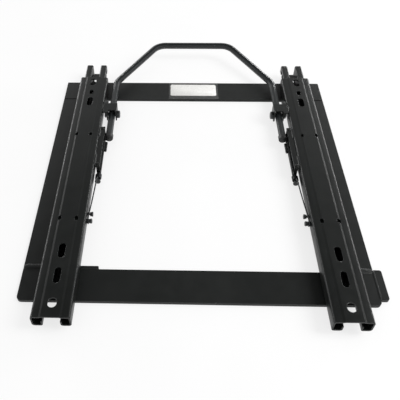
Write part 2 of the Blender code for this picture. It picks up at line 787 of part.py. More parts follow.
def build_pivot(side):
    """The saddle bracket on the upper rail that straddles the tube, with its bolt and nut."""
    side_name = SIDE_NAMES[side]
    room = TUBE_DIAMETER / 2 + SADDLE_SIDE_ROOM
    near_ear = LEG_FROM_RAIL - room
    far_ear = LEG_FROM_RAIL + room
    underside = TUBE_HEIGHT + TUBE_DIAMETER / 2 + SADDLE_HEADROOM
    top = underside + SADDLE_SHEET
    section = [
        (WELDED_FROM, underside),
        (near_ear - SADDLE_SHEET, underside),
        (near_ear - SADDLE_SHEET, SADDLE_EAR_BOTTOM),
        (near_ear, SADDLE_EAR_BOTTOM),
        (near_ear, underside),
        (far_ear, underside),
        (far_ear, SADDLE_EAR_BOTTOM),
        (far_ear + SADDLE_SHEET, SADDLE_EAR_BOTTOM),
        (far_ear + SADDLE_SHEET, top),
        (WELDED_FROM, top),
    ]
    loop = [(inboard(side, offset), RAIL_BASE + height) for offset, height in section]
    rear, front = PIVOT_Y - SADDLE_BEHIND, PIVOT_Y + SADDLE_AHEAD
    name = side_name + "_pivot_bracket"
    bracket = place(outline_solid(name, [loop], rear, front, "XZ", PARTS), COATED, name)
    pivot_height = RAIL_BASE + TUBE_HEIGHT
    centre = (leg_x(side), PIVOT_Y, pivot_height)
    reach = 2 * (far_ear - near_ear + 2 * SADDLE_SHEET)
    low_x, high_x = span(side, near_ear + 0.2 * MM, far_ear - 0.2 * MM)
    window = box(
        "saddle window",
        (low_x, rear - SADDLE_SHEET, pivot_height),
        (high_x, PIVOT_Y - SADDLE_CUT_BEHIND, RAIL_BASE + top + SADDLE_SHEET),
        CUTTERS,
    )
    hole = cylinder("ear holes", centre, PIVOT_BOLT_DIAMETER / 2 + GAP, reach, "X", CUTTERS)
    cut(bracket, [window, hole])

    head = far_ear + SADDLE_SHEET + GAP
    nut = near_ear - SADDLE_SHEET - GAP - PIVOT_NUT_HEIGHT
    shank, edge = PIVOT_BOLT_DIAMETER / 2, 0.8 * MM
    radius = PIVOT_HEAD_DIAMETER / 2
    profile = [
        (0, PIVOT_HEAD_HEIGHT),
        (radius - 2 * edge, PIVOT_HEAD_HEIGHT),
        (radius, PIVOT_HEAD_HEIGHT - edge),
        (radius, 0),
        (shank, 0),
        (shank, nut - head),
        (0, nut - head),
    ]
    bolt = place(turned(side_name + "_pivot_bolt", profile), ZINC, side_name + "_pivot_bolt")
    bolt.rotation_euler = (0, -side * math.pi / 2, 0)
    bolt.location = (inboard(side, head), PIVOT_Y, pivot_height)
    nut_centre = (inboard(side, nut + PIVOT_NUT_HEIGHT / 2), PIVOT_Y, pivot_height)
    hex_nut(side_name + "_pivot_nut", nut_centre, PIVOT_NUT_FLATS, PIVOT_NUT_HEIGHT, shank + GAP, "X")


def circle(radius):
    turn = 2 * math.pi / ROUND_SEGMENTS
    return [(radius * math.cos(turn * i), radius * math.sin(turn * i)) for i in range(ROUND_SEGMENTS)]


def build_latch(side):
    """The latch: a barrel round the pin, a plate that rises beside the rail, teeth and an arm.

    It is drawn with its teeth level in the rack and stands turned out by the release angle. Its origin
    is on the pin.
    """
    name = SIDE_NAMES[side] + "_latch"
    hinge = new_object(name + "_hinge", None, PARTS)
    hinge.parent = ORIGIN
    hinge.location = (inboard(side, PIN_FROM_RAIL), LATCH_REAR, RAIL_BASE + PIN_HEIGHT)
    hinge.rotation_euler = (0, -side * LATCH_RELEASE, 0)
    bore = PIN_DIAMETER / 2 + GAP
    latch = outline_solid(name, [circle(BARREL_RADIUS), circle(bore)], 0, LATCH_LENGTH, "XZ", PARTS)
    place(latch, COATED, name, parent=hinge)

    def block(offsets, ys, heights):
        low_x, high_x = sorted(side * (PIN_FROM_RAIL - offset) for offset in offsets)
        low = (low_x, ys[0] - LATCH_REAR, heights[0] - PIN_HEIGHT)
        piece = box("latch block", low, (high_x, ys[1] - LATCH_REAR, heights[1] - PIN_HEIGHT), CUTTERS)
        piece.parent = hinge
        return piece

    plate = (PIN_FROM_RAIL - 0.1 * MM, PIN_FROM_RAIL - 0.1 * MM + LATCH_SHEET)
    plate_ys = (LATCH_REAR + 0.5 * MM, LATCH_REAR + LATCH_PLATE_LENGTH)
    tooth_top = TOOTH_HEIGHT + LATCH_SHEET
    pieces = [block(plate, plate_ys, (PIN_HEIGHT + bore + 0.2 * MM, tooth_top + PLATE_ABOVE_TEETH))]
    for y in tooth_places():
        ys = (y - TOOTH_WIDTH / 2, y + TOOTH_WIDTH / 2)
        pieces.append(block((TOOTH_TIP, PIN_FROM_RAIL + LATCH_SHEET / 2), ys, (TOOTH_HEIGHT, tooth_top)))
    arm_top = RAIL_BASE + TUBE_HEIGHT - TUBE_DIAMETER / 2 - ARM_BELOW_TUBE
    low_x, high_x = span(side, PIN_FROM_RAIL + bore + 0.1 * MM, ARM_END)
    low = (low_x, LATCH_FRONT - ARM_WIDTH, arm_top - LATCH_SHEET)
    pieces.append(box("latch arm", low, (high_x, LATCH_FRONT - 0.5 * MM, arm_top), CUTTERS))
    join(latch, pieces)


def build_hanger(side):
    """The latch bracket on the upper rail: a top plate with an ear at each end that holds the pin."""
    name = SIDE_NAMES[side] + "_latch_bracket"
    underside = HANGER_TOP - HANGER_SHEET
    low_x, high_x = span(side, WELDED_FROM, HANGER_EDGE)
    bracket = box(
        name,
        (low_x, HANGER_REAR - HANGER_OVERHANG, RAIL_BASE + underside),
        (high_x, HANGER_FRONT + HANGER_OVERHANG, RAIL_BASE + HANGER_TOP),
        PARTS,
    )
    place(bracket, COATED, name)
    ear_low, ear_high = span(side, *EAR_OFFSETS)
    ears = [
        box(
            "ear",
            (ear_low, start, RAIL_BASE + EAR_BOTTOM),
            (ear_high, start + HANGER_SHEET, RAIL_BASE + underside + HANGER_SHEET / 2),
            CUTTERS,
        )
        for start in (HANGER_REAR, LATCH_FRONT + GAP)
    ]
    join(bracket, ears)
    centre = (inboard(side, PIN_FROM_RAIL), (HANGER_REAR + HANGER_FRONT) / 2, RAIL_BASE + PIN_HEIGHT)
    depth = 2 * (HANGER_FRONT - HANGER_REAR)
    cut(bracket, [cylinder("pin holes", centre, PIN_DIAMETER / 2 + GAP, depth, "Y", CUTTERS)])


def build_latch_pin(side):
    """The pin through the bracket and the latch. Its rear end carries the coil of the spring."""
    radius = PIN_DIAMETER / 2
    collar = SPRING_COIL_RADIUS + SPRING_WIRE / 4
    tail = HANGER_REAR - SPRING_ROOM
    length = HANGER_FRONT + GAP - tail
    profile = [
        (0, length + COLLAR_HEIGHT),
        (1.5 * radius, length + COLLAR_HEIGHT),
        (1.5 * radius, length),
        (radius, length),
        (radius, 0),
        (collar, 0),
        (collar, -COLLAR_HEIGHT),
        (0, -COLLAR_HEIGHT),
    ]
    name = SIDE_NAMES[side] + "_latch_pin"
    pin = place(turned(name, profile), ZINC, name)
    pin.rotation_euler = (-math.pi / 2, 0, 0)
    pin.location = (inboard(side, PIN_FROM_RAIL), tail, RAIL_BASE + PIN_HEIGHT)


def build_anchor(side):
    """A headed stud that stands out from the inboard wall of the upper rail."""
    edge = 0.6 * MM
    head = STUD_LENGTH + STUD_HEAD_HEIGHT
    profile = [
        (0, head),
        (STUD_HEAD_RADIUS - edge, head),
        (STUD_HEAD_RADIUS, head - edge),
        (STUD_HEAD_RADIUS, STUD_LENGTH),
        (STUD_NECK_RADIUS, STUD_LENGTH),
        (STUD_NECK_RADIUS, 0),
        (0, 0),
    ]
    name = SIDE_NAMES[side] + "_spring_anchor"
    stud = place(turned(name, profile), ZINC, name)
    stud.rotation_euler = (0, -side * math.pi / 2, 0)
    stud.location = (inboard(side, WELDED_FROM), ANCHOR_Y, RAIL_BASE + ANCHOR_HEIGHT)


def build_spring(side):
    """The return spring: a coil round the latch pin and a long leg back to an eye on its anchor."""
    name = SIDE_NAMES[side] + "_return_spring"
    pin_x = inboard(side, PIN_FROM_RAIL)
    pin_z = RAIL_BASE + PIN_HEIGHT
    coil_front = HANGER_REAR - SPRING_WIRE
    pitch = SPRING_WIRE + GAP
    points = []
    for step in range(SPRING_TURNS * SPRING_POINTS_PER_TURN + 1):
        turn = step / SPRING_POINTS_PER_TURN
        angle = 2 * math.pi * turn
        x = pin_x - side * SPRING_COIL_RADIUS * math.sin(angle)
        z = pin_z + SPRING_COIL_RADIUS * math.cos(angle)
        points.append((x, coil_front - pitch * turn, z))
    leg = inboard(side, WELDED_FROM + SPRING_WIRE / 2 + 2 * GAP)
    anchor_z = RAIL_BASE + ANCHOR_HEIGHT
    eye_top = anchor_z + SPRING_EYE_RADIUS
    shoulder = Vector((leg, HANGER_REAR - SPRING_ROOM - 3 * SPRING_WIRE, eye_top))
    points.append(tuple(Vector(points[-1]).lerp(shoulder, 0.5)))
    points.append(tuple(shoulder))
    for step in range(SPRING_EYE_POINTS + 1):
        angle = math.pi * 1.5 * step / SPRING_EYE_POINTS
        y = ANCHOR_Y - SPRING_EYE_RADIUS * math.sin(angle)
        points.append((leg, y, anchor_z + SPRING_EYE_RADIUS * math.cos(angle)))
    place(wire(name, points, SPRING_WIRE, PARTS), SPRING_STEEL, name, smooth=True)


def build_side(side):
    build_lower_rail(side)
    build_upper_rail(side)
    build_cages(side)
    build_pivot(side)
    build_latch(side)
    build_hanger(side)
    build_latch_pin(side)
    build_anchor(side)
    build_spring(side)


build_frame()
build_screws()
build_handle()
for each_side in (LEFT, RIGHT):
    build_side(each_side)
bpy.context.view_layer.update()
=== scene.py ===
"""Looks of the seat slide rail: finishes, weld beads, small fasteners, springs, a bare label, a studio.

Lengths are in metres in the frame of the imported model: +X right, +Y to the front of the seat, +Z up.
A table whose comment says mm is scaled by MM where it is used.
"""

import math

import bmesh
import bpy
from mathutils import Matrix, Vector


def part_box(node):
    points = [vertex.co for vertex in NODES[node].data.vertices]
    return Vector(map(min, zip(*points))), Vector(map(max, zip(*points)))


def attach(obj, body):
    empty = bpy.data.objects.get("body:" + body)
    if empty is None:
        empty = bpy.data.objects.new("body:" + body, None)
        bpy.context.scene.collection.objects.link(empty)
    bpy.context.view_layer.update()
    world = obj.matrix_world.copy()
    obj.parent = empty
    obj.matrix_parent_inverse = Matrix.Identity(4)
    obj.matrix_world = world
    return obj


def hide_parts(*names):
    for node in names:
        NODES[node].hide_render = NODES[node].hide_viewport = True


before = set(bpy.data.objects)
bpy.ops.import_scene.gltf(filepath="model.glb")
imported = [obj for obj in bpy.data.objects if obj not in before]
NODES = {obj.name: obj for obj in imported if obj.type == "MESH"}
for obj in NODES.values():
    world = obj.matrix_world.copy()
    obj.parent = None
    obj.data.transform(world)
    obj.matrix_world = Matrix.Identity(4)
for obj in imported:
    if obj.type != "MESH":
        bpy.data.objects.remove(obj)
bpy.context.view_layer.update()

MM = 0.001
LEFT, RIGHT = -1, 1
SIDE_NAMES = {LEFT: "left", RIGHT: "right"}


# Materials


class Graph:
    """A material's node tree, with short calls for its nodes."""

    def __init__(self, name):
        self.material = bpy.data.materials.new(name)
        self.material.use_nodes = True
        self.tree = self.material.node_tree
        self.shader = self.tree.nodes["Principled BSDF"]

    def node(self, kind, inputs=None, **settings):
        node = self.tree.nodes.new("ShaderNode" + kind)
        for key, value in settings.items():
            setattr(node, key, value)
        for key, value in (inputs or {}).items():
            self.put(node.inputs[key], value)
        return node

    def put(self, socket, value):
        if isinstance(value, bpy.types.NodeSocket):
            self.tree.links.new(value, socket)
        else:
            socket.default_value = value

    def place(self, stretch=(1, 1, 1)):
        """Positions on the piece in metres, stretched if asked."""
        position = self.node("TexCoord").outputs["Object"]
        return self.node("Mapping", {"Vector": position, "Scale": stretch}).outputs["Vector"]

    def noise(self, scale, detail=3, roughness=0.55, stretch=(1, 1, 1)):
        inputs = {"Vector": self.place(stretch), "Scale": scale, "Detail": detail, "Roughness": roughness}
        return self.node("TexNoise", inputs).outputs["Fac"]

    def spread(self, value, low, high, start=0.0, end=1.0):
        """A value's range mapped onto another."""
        inputs = {"Value": value, "From Min": low, "From Max": high, "To Min": start, "To Max": end}
        return self.node("MapRange", inputs).outputs["Result"]

    def math(self, operation, a, b=0.0):
        node = self.node("Math", operation=operation)
        self.put(node.inputs[0], a)
        self.put(node.inputs[1], b)
        return node.outputs[0]

    def blend(self, factor, a, b, mode="MIX"):
        node = self.node("Mix", data_type="RGBA", blend_type=mode)
        self.put(node.inputs[0], factor)
        self.put(node.inputs[6], a)
        self.put(node.inputs[7], b)
        return node.outputs[2]

    def edges(self, radius):
        """Near 1 along convex and concave edges, 0 on flat faces, and the softened normal."""
        soft = self.node("Bevel", {"Radius": radius}, samples=6).outputs["Normal"]
        hard = self.node("NewGeometry").outputs["Normal"]
        dot = self.node("VectorMath", operation="DOT_PRODUCT")
        self.put(dot.inputs[0], soft)
        self.put(dot.inputs[1], hard)
        return self.spread(dot.outputs["Value"], 0.999, 0.93), soft

    def bump(self, height, distance, strength, normal):
        inputs = {"Height": height, "Distance": distance, "Strength": strength}
        if normal is not None:
            inputs["Normal"] = normal
        return self.node("Bump", inputs).outputs["Normal"]

    def finish(self, **inputs):
        for key, value in inputs.items():
            self.put(self.shader.inputs[key.replace("_", " ")], value)
        return self.material


def rgb(red, green, blue):
    """A colour given as it shows on a screen, 0 to 255, in the renderer's linear scale."""
    def linear(level):
        return ((level / 255 + 0.055) / 1.055) ** 2.4 if level > 10 else level / 255 / 12.92

    return linear(red), linear(green), linear(blue), 1


def powder_coat(name, dark, light, worn, roughness=(0.36, 0.5), peel=1.0, gloss=0.25):
    """Satin powder coat: orange peel, faint mottling, specks of dust, a few chips, and edges lightened partly
    by rubbed wear and partly as a painted highlight.
    """
    g = Graph(name)
    g.shader.inputs["Specular IOR Level"].default_value = gloss
    edge, soft = g.edges(0.7 * MM)
    cloud = g.noise(16, 4)
    grain = g.noise(2400, 2)
    mottle = g.math("ADD", g.math("MULTIPLY", cloud, 0.7), g.math("MULTIPLY", grain, 0.3))
    colour = g.blend(g.spread(mottle, 0.38, 0.62), dark, light)
    # Edges lightened towards the worn colour: partly rubbed wear, partly a painted highlight where edges
    # would catch the light.
    rub_and_highlight = g.math("MULTIPLY", edge, g.spread(g.noise(90, 5, 0.7), 0.35, 0.6, 0.15, 0.85))
    colour = g.blend(rub_and_highlight, colour, worn)
    speck = g.spread(g.noise(520, 1), 0.79, 0.83)
    colour = g.blend(g.math("MULTIPLY", speck, 0.5), colour, worn)
    chip = g.math("MULTIPLY", g.spread(edge, 0.3, 0.6), g.spread(g.noise(210, 2), 0.7, 0.74))
    colour = g.blend(chip, colour, rgb(138, 140, 141))
    rough = g.spread(g.noise(60, 5, 0.65), 0.3, 0.7, *roughness)
    skin = g.math("ADD", g.math("MULTIPLY", g.noise(760, 2), 0.7), g.math("MULTIPLY", grain, 0.3))
    normal = g.bump(skin, 0.12 * MM * peel, 0.35, soft)
    return g.finish(Base_Color=colour, Roughness=rough, Normal=normal)


def bare_metal(name, dark, light, roughness, brushed, metallic=1.0):
    """Plated or bare steel with fine draw marks, a tarnish that settles unevenly, and a painted highlight
    along its edges.
    """
    g = Graph(name)
    edge, soft = g.edges(0.4 * MM)
    cloud = g.noise(140, 5, 0.6)
    lines = g.noise(900, 2, 0.5, brushed)
    colour = g.blend(g.spread(cloud, 0.35, 0.65), dark, light)
    # Edges painted half-way to the light tone: a painted highlight.
    colour = g.blend(g.math("MULTIPLY", edge, 0.5), colour, light)
    rough = g.math("ADD", g.spread(cloud, 0.3, 0.7, roughness - 0.07, roughness + 0.07),
                   g.spread(lines, 0.3, 0.7, -0.04, 0.04))
    normal = g.bump(lines, 0.05 * MM, 0.3, soft)
    return g.finish(Base_Color=colour, Roughness=rough, Normal=normal, Metallic=metallic)


def moulded(name, dark, light, roughness):
    """Moulded plastic with a fine eroded grain, slight sink and scuff marks, and a faint painted highlight
    along its edges.
    """
    g = Graph(name)
    edge, soft = g.edges(0.5 * MM)
    cloud = g.noise(120, 4)
    grain = g.noise(2600, 3)
    colour = g.blend(g.spread(cloud, 0.35, 0.65), dark, light)
    # Edges painted a quarter of the way to the light tone: a painted highlight.
    colour = g.blend(g.math("MULTIPLY", edge, 0.25), colour, light)
    rough = g.spread(grain, 0.3, 0.7, roughness - 0.08, roughness + 0.08)
    normal = g.bump(grain, 0.06 * MM, 0.3, soft)
    return g.finish(Base_Color=colour, Roughness=rough, Normal=normal)


def label_stock():
    """Matt white label stock, a little uneven and greyer towards its worn edges."""
    g = Graph("label_white")
    edge, soft = g.edges(0.6 * MM)
    cloud = g.noise(45, 4)
    fibre = g.noise(1700, 3)
    tone = g.math("ADD", g.math("MULTIPLY", cloud, 0.7), g.math("MULTIPLY", fibre, 0.3))
    colour = g.blend(g.spread(tone, 0.35, 0.65), rgb(243, 242, 239), rgb(248, 247, 244))
    colour = g.blend(g.math("MULTIPLY", edge, 0.3), colour, rgb(206, 205, 200))
    normal = g.bump(fibre, 0.03 * MM, 0.25, soft)
    return g.finish(Base_Color=colour, Roughness=g.spread(cloud, 0.3, 0.7, 0.42, 0.55), Normal=normal)


def clear_film():
    """A clear film, slightly scuffed, that greys the coat under it."""
    g = Graph("label_film")
    scuff = g.noise(160, 5, 0.7)
    colour = g.blend(g.spread(scuff, 0.4, 0.7), rgb(228, 229, 228), rgb(238, 239, 238))
    alpha = g.spread(scuff, 0.35, 0.75, 0.03, 0.05)
    normal = g.bump(g.noise(55, 3), 0.2 * MM, 0.2, None)
    g.material.surface_render_method = "BLENDED"
    rough = g.spread(scuff, 0.3, 0.7, 0.16, 0.3)
    return g.finish(Base_Color=colour, Roughness=rough, Alpha=alpha, Normal=normal)


def studio_floor():
    """Pale floor. The camera and mirror-like reflections see it near white, with the shadows kept."""
    g = Graph("studio_floor")
    cloud = g.noise(7, 3)
    colour = g.blend(g.spread(cloud, 0.35, 0.65), rgb(247, 247, 247), rgb(250, 250, 250))
    g.finish(Base_Color=colour, Roughness=0.9)
    g.shader.inputs["Specular IOR Level"].default_value = 0.0
    rays = g.node("LightPath")
    seen = g.math("MAXIMUM", rays.outputs["Is Camera Ray"], rays.outputs["Is Glossy Ray"])
    seen = g.math("MAXIMUM", seen, rays.outputs["Is Transmission Ray"])
    glow = g.node("Emission", {"Color": (1, 1, 1, 1), "Strength": 1.0}).outputs[0]
    mix = g.node("MixShader")
    g.put(mix.inputs[0], g.math("MULTIPLY", seen, 0.74))
    g.put(mix.inputs[1], g.shader.outputs[0])
    g.put(mix.inputs[2], glow)
    g.put(g.tree.nodes["Material Output"].inputs["Surface"], mix.outputs[0])
    return g.material


COAT = powder_coat("coat_frame", rgb(22, 24, 23), rgb(27, 29, 28), rgb(66, 69, 69))
RAIL_COAT = powder_coat("coat_rail", rgb(19, 21, 20), rgb(24, 26, 25), rgb(72, 75, 75), (0.29, 0.4), 0.7)
TUBE_COAT = powder_coat("coat_tube", rgb(23, 26, 27), rgb(28, 32, 33), rgb(74, 78, 79), (0.3, 0.42), 0.8, 0.4)
WELD_COAT = powder_coat("coat_weld", rgb(22, 24, 23), rgb(29, 31, 30), rgb(68, 71, 71), (0.36, 0.5), 1.6)
# Near-black coat for the front seams' strips: painted shadow standing in for the shade in the groove between
# plate and bar.
SEAM_SHADOW_PAINT = powder_coat("painted_seam_shadow", rgb(9, 10, 10), rgb(14, 15, 15), rgb(30, 31, 31), (0.5, 0.62), 1.6, 0.1)
ZINC = bare_metal("zinc", rgb(36, 38, 38), rgb(70, 72, 73), 0.36, (1, 0.2, 1), 0.75)
SPRING = bare_metal("spring_steel", rgb(30, 32, 32), rgb(58, 60, 61), 0.34, (1, 0.1, 1), 0.6)
BRIGHT = bare_metal("ball_steel", rgb(176, 177, 180), rgb(214, 215, 217), 0.16, (1, 1, 1))
CAP = moulded("cap_plastic", rgb(13, 14, 14), rgb(22, 23, 23), 0.52)
CAGE = moulded("cage_plastic", rgb(182, 180, 172), rgb(206, 204, 197), 0.52)
LABEL = label_stock()
FILM = clear_film()

FINISHES = [
    (("cross_bar", "side_plate", "gusset", "tab"), COAT),
    (("upper_rail", "lower_rail", "bracket", "_latch"), RAIL_COAT),
    (("handle_tube",), TUBE_COAT),
    (("handle_cap",), CAP),
    (("cage",), CAGE),
    (("ball",), BRIGHT),
    (("spring",), SPRING),
    (("screw", "nut", "bolt", "pin", "anchor"), ZINC),
]


def finish_of(name):
    """The finish of a CAD node: the last row whose words its name holds."""
    return [material for words, material in FINISHES if any(word in name for word in words)][-1]


for node_name, node in NODES.items():
    node.data.materials.clear()
    node.data.materials.append(finish_of(node_name))
    node.data.shade_smooth()
    weld = node.modifiers.new("Weld", "WELD")
    weld.merge_threshold = 0.005 * MM
    split = node.modifiers.new("Sharp edges", "EDGE_SPLIT")
    split.split_angle = math.radians(34)


# Added pieces


def add_mesh(name, build, material, body, smooth):
    """A piece built by mesh code, smooth up to an angle in degrees, riding on a body."""
    mesh = bpy.data.meshes.new(name)
    shape = bmesh.new()
    build(shape)
    bmesh.ops.recalc_face_normals(shape, faces=shape.faces)
    shape.to_mesh(mesh)
    shape.free()
    piece = bpy.data.objects.new(name, mesh)
    bpy.context.scene.collection.objects.link(piece)
    mesh.materials.append(material)
    mesh.shade_smooth()
    mesh.set_sharp_from_angle(angle=math.radians(smooth))
    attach(piece, body)
    return piece


def loft(shape, rings):
    """Closed skin over rings of equal length, capped at both ends."""
    rows = [[shape.verts.new(point) for point in ring] for ring in rings]
    count = len(rows[0])
    for low, high in zip(rows, rows[1:]):
        for i in range(count):
            shape.faces.new((low[i], low[(i + 1) % count], high[(i + 1) % count], high[i]))
    shape.faces.new(list(reversed(rows[0])))
    shape.faces.new(rows[-1])


def ripple(step, seed):
    """A repeatable value from -1 to 1."""
    return math.sin(step * 12.9898 + seed * 78.233) * 0.5 + math.sin(step * 4.1414 + seed * 3.7) * 0.5


BEAD_PITCH = 1.6 * MM
STEPS_A_RIPPLE = 4
FEWEST_BEAD_STEPS = 8
BEAD_ARC_STEPS = 8
BEAD_SUNK = 0.15


def weld_bead(name, start, end, width, height, up, body, material=WELD_COAT):
    """A rippled weld bead from start to end, lying over a seam, crowned towards up."""
    start, end, up = Vector(start), Vector(end), Vector(up).normalized()
    along = (end - start).normalized()
    across = along.cross(up).normalized()
    length = (end - start).length
    steps = max(FEWEST_BEAD_STEPS, round(length / (BEAD_PITCH / STEPS_A_RIPPLE)))
    seed = len(name) + start.x * 31

    def build(shape):
        rings = []
        for step in range(steps + 1):
            t = step / steps
            phase = (length * t / BEAD_PITCH) % 1
            scallop = 0.82 + 0.18 * math.sin(math.pi * phase) ** 0.7
            toe = min(1.0, (min(t, 1 - t) * length + 0.25 * width) / (0.75 * width))
            half = width / 2 * (0.94 + 0.06 * ripple(step * 0.4, seed)) * math.sqrt(toe)
            rise = height * scallop * math.sqrt(toe) * (0.96 + 0.04 * ripple(step * 0.9, seed + 2))
            bend = (phase - 0.5) * BEAD_PITCH * 0.25
            ring = []
            for k in range(BEAD_ARC_STEPS + 1):
                angle = math.pi * k / BEAD_ARC_STEPS
                shift = along * (-bend * math.sin(angle) + length * t)
                ring.append(start + shift + across * (half * math.cos(angle)) + up * (rise * math.sin(angle)))
            foot = start + along * (length * t)
            ring.append(foot - across * half * 0.9 - up * BEAD_SUNK * MM)
            ring.append(foot + across * half * 0.9 - up * BEAD_SUNK * MM)
            rings.append(ring)
        loft(shape, rings)

    return add_mesh(name, build, material, body, 50)


def revolve(name, centre, axis, profile, material, body, segments=28):
    """A closed solid of revolution: radius and height pairs from its foot to its crown."""
    turn = Vector((0, 0, 1)).rotation_difference(Vector(axis)).to_matrix().to_4x4()
    move = Matrix.Translation(centre) @ turn

    def build(shape):
        rings = []
        for radius, height in profile:
            ring = []
            for k in range(segments):
                angle = 2 * math.pi * k / segments
                ring.append(move @ Vector((radius * math.cos(angle), radius * math.sin(angle), height)))
            rings.append(ring)
        loft(shape, rings)

    return add_mesh(name, build, material, body, 35)


RIVET_STEPS = 7


def rivet(name, centre, axis, radius, height, body):
    """A domed rivet head with a small flat crown."""
    profile = [(radius * 0.98, -0.1 * MM), (radius, 0.15 * height)]
    for k in range(1, RIVET_STEPS):
        angle = math.pi / 2 * k / RIVET_STEPS
        profile.append((radius * math.cos(angle), height * (0.15 + 0.85 * math.sin(angle))))
    return revolve(name, centre, axis, profile, RAIL_COAT, body)


def plate_loop(low, high, radius, z, steps=6):
    """The outline of a level plate with rounded corners."""
    points = []
    corners = [(high[0] - radius, high[1] - radius, 0), (low[0] + radius, high[1] - radius, 1),
               (low[0] + radius, low[1] + radius, 2), (high[0] - radius, low[1] + radius, 3)]
    for x, y, quarter in corners:
        for k in range(steps + 1):
            angle = math.pi / 2 * (quarter + k / steps)
            points.append(Vector((x + radius * math.cos(angle), y + radius * math.sin(angle), z)))
    return points


def sticker(name, low, high, radius, z, thickness, material):
    """A thin rounded sheet on the base, with its edge rolled over a little."""
    def build(shape):
        edge = 0.5 * thickness
        inner_low = (low[0] + edge, low[1] + edge)
        inner_high = (high[0] - edge, high[1] - edge)
        loft(shape, [plate_loop(low, high, radius, z),
                     plate_loop(low, high, radius, z + thickness - edge),
                     plate_loop(inner_low, inner_high, radius - edge, z + thickness)])

    return add_mesh(name, build, material, "base", 50)


FRONT_LOW, FRONT_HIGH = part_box("front_cross_bar")
REAR_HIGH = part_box("rear_cross_bar")[1]
PLATE_TOP = FRONT_HIGH.z
UP = (0, 0, 1)

# Beads on the frame: their foot, the room at a plate's edge, and where a rail's channel stands on the seam
BEAD_FOOT = PLATE_TOP - 0.1 * MM
BEAD_INSET = 0.8 * MM
CHANNEL_ROOM = 11 * MM
GUSSET_BEAD_START = 6 * MM

# Seams between side plates and cross bars: bead width, bead height, shift along Y, finish. The front row is
# no weld but a low dark strip of painted shadow in the seam's groove.
SEAM_BEADS = {
    "rear": (10 * MM, 1.2 * MM, 2.5 * MM, WELD_COAT),
    "front": (3.4 * MM, 0.4 * MM, 0, SEAM_SHADOW_PAINT),
}


def middle(a, b):
    return (a + b) / 2


def edge_at(side, low, high):
    """The X of a box's left edge for the left side, or of its right edge for the right side."""
    return low.x if side == LEFT else high.x


def frame_welds():
    """Beads on the seams of the ladder frame, left out where a rail's channel stands on them. The rear beads
    are welds; the front ones are dark strips of painted shadow for the groove.
    """
    for side in (LEFT, RIGHT):
        name = SIDE_NAMES[side]
        low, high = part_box(name + "_side_plate")
        rail_low, rail_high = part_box(name + "_lower_rail")
        outer = edge_at(side, low, high) - side * BEAD_INSET
        inner = middle(rail_low.x, rail_high.x) + side * CHANNEL_ROOM
        seams = {"rear": middle(low.y, REAR_HIGH.y), "front": middle(high.y, FRONT_LOW.y)}
        for end, (width, height, shift, material) in SEAM_BEADS.items():
            seam = seams[end] + shift
            # The front seams get a dark strip of painted shadow, the rear seams a weld bead.
            weld_bead(f"{name}_{end}_seam_weld", (outer, seam, BEAD_FOOT), (inner, seam, BEAD_FOOT),
                      width, height, UP, "base", material)
    low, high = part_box("left_rear_gusset")
    seam = middle(low.y, REAR_HIGH.y)
    weld_bead("gusset_weld", (low.x + GUSSET_BEAD_START, seam, BEAD_FOOT),
              (high.x - BEAD_INSET, seam, BEAD_FOOT), 3.4 * MM, 0.6 * MM, UP, "base")
    low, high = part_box("right_rear_tab")
    seam = middle(low.x, REAR_HIGH.x)
    weld_bead("tab_weld", (seam, low.y + BEAD_INSET, BEAD_FOOT),
              (seam, high.y - BEAD_INSET, BEAD_FOOT), 3.6 * MM, 0.6 * MM, UP, "base")


def weld_ring(name, foot, axis, radius):
    """A fillet of weld round the foot of a stud."""
    fillet = ((1.7, -0.35), (1.65, -0.1), (1.1, 0.3), (0.5, 0.8), (0.05, 1.1))
    profile = [(radius + reach * MM, height * MM) for reach, height in fillet]
    revolve(name, foot, axis, profile, WELD_COAT, "carriage")


def bracket_welds():
    """Beads that join the pivot and latch brackets and the spring anchors to the upper rails."""
    for side in (LEFT, RIGHT):
        name = SIDE_NAMES[side]
        low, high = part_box(name + "_pivot_bracket")
        x = edge_at(side, low, high) + side * 0.5 * MM
        z = high.z - 1.8 * MM
        weld_bead(name + "_pivot_bracket_weld", (x, low.y + 5 * MM, z), (x, high.y - 0.8 * MM, z),
                  5.8 * MM, 1.9 * MM, UP, "carriage")
        low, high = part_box(name + "_latch_bracket")
        x = edge_at(side, low, high) - side * 0.2 * MM
        z = high.z + 0.5 * MM
        for part, start, end in (("rear", 2, 27), ("front", 68, 92)):
            weld_bead(f"{name}_latch_bracket_{part}_weld",
                      (x, low.y + start * MM, z), (x, low.y + end * MM, z),
                      4.2 * MM, 1.0 * MM, (-side * 0.7, 0, 0.7), "carriage")
        low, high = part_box(name + "_spring_anchor")
        foot = Vector((edge_at(side, low, high), middle(low.y, high.y), middle(low.z, high.z)))
        weld_ring(name + "_anchor_weld", foot, (-side, 0, 0), 2.0 * MM)


# Lip of a pivot bracket: distance ahead of the bracket and drop below its top, in mm
LIP_CROWN = ((-0.6, -0.3), (3, -0.35), (8, -1.2), (12.5, -3.2), (15.5, -6.2), (16.6, -9.6))
LIP_WIDTH = 7.9
LIP_TAPER = 0.008
LIP_SHEET = 2
LIP_SOFT_EDGE = 0.5 * MM
LIP_GAP = 0.2


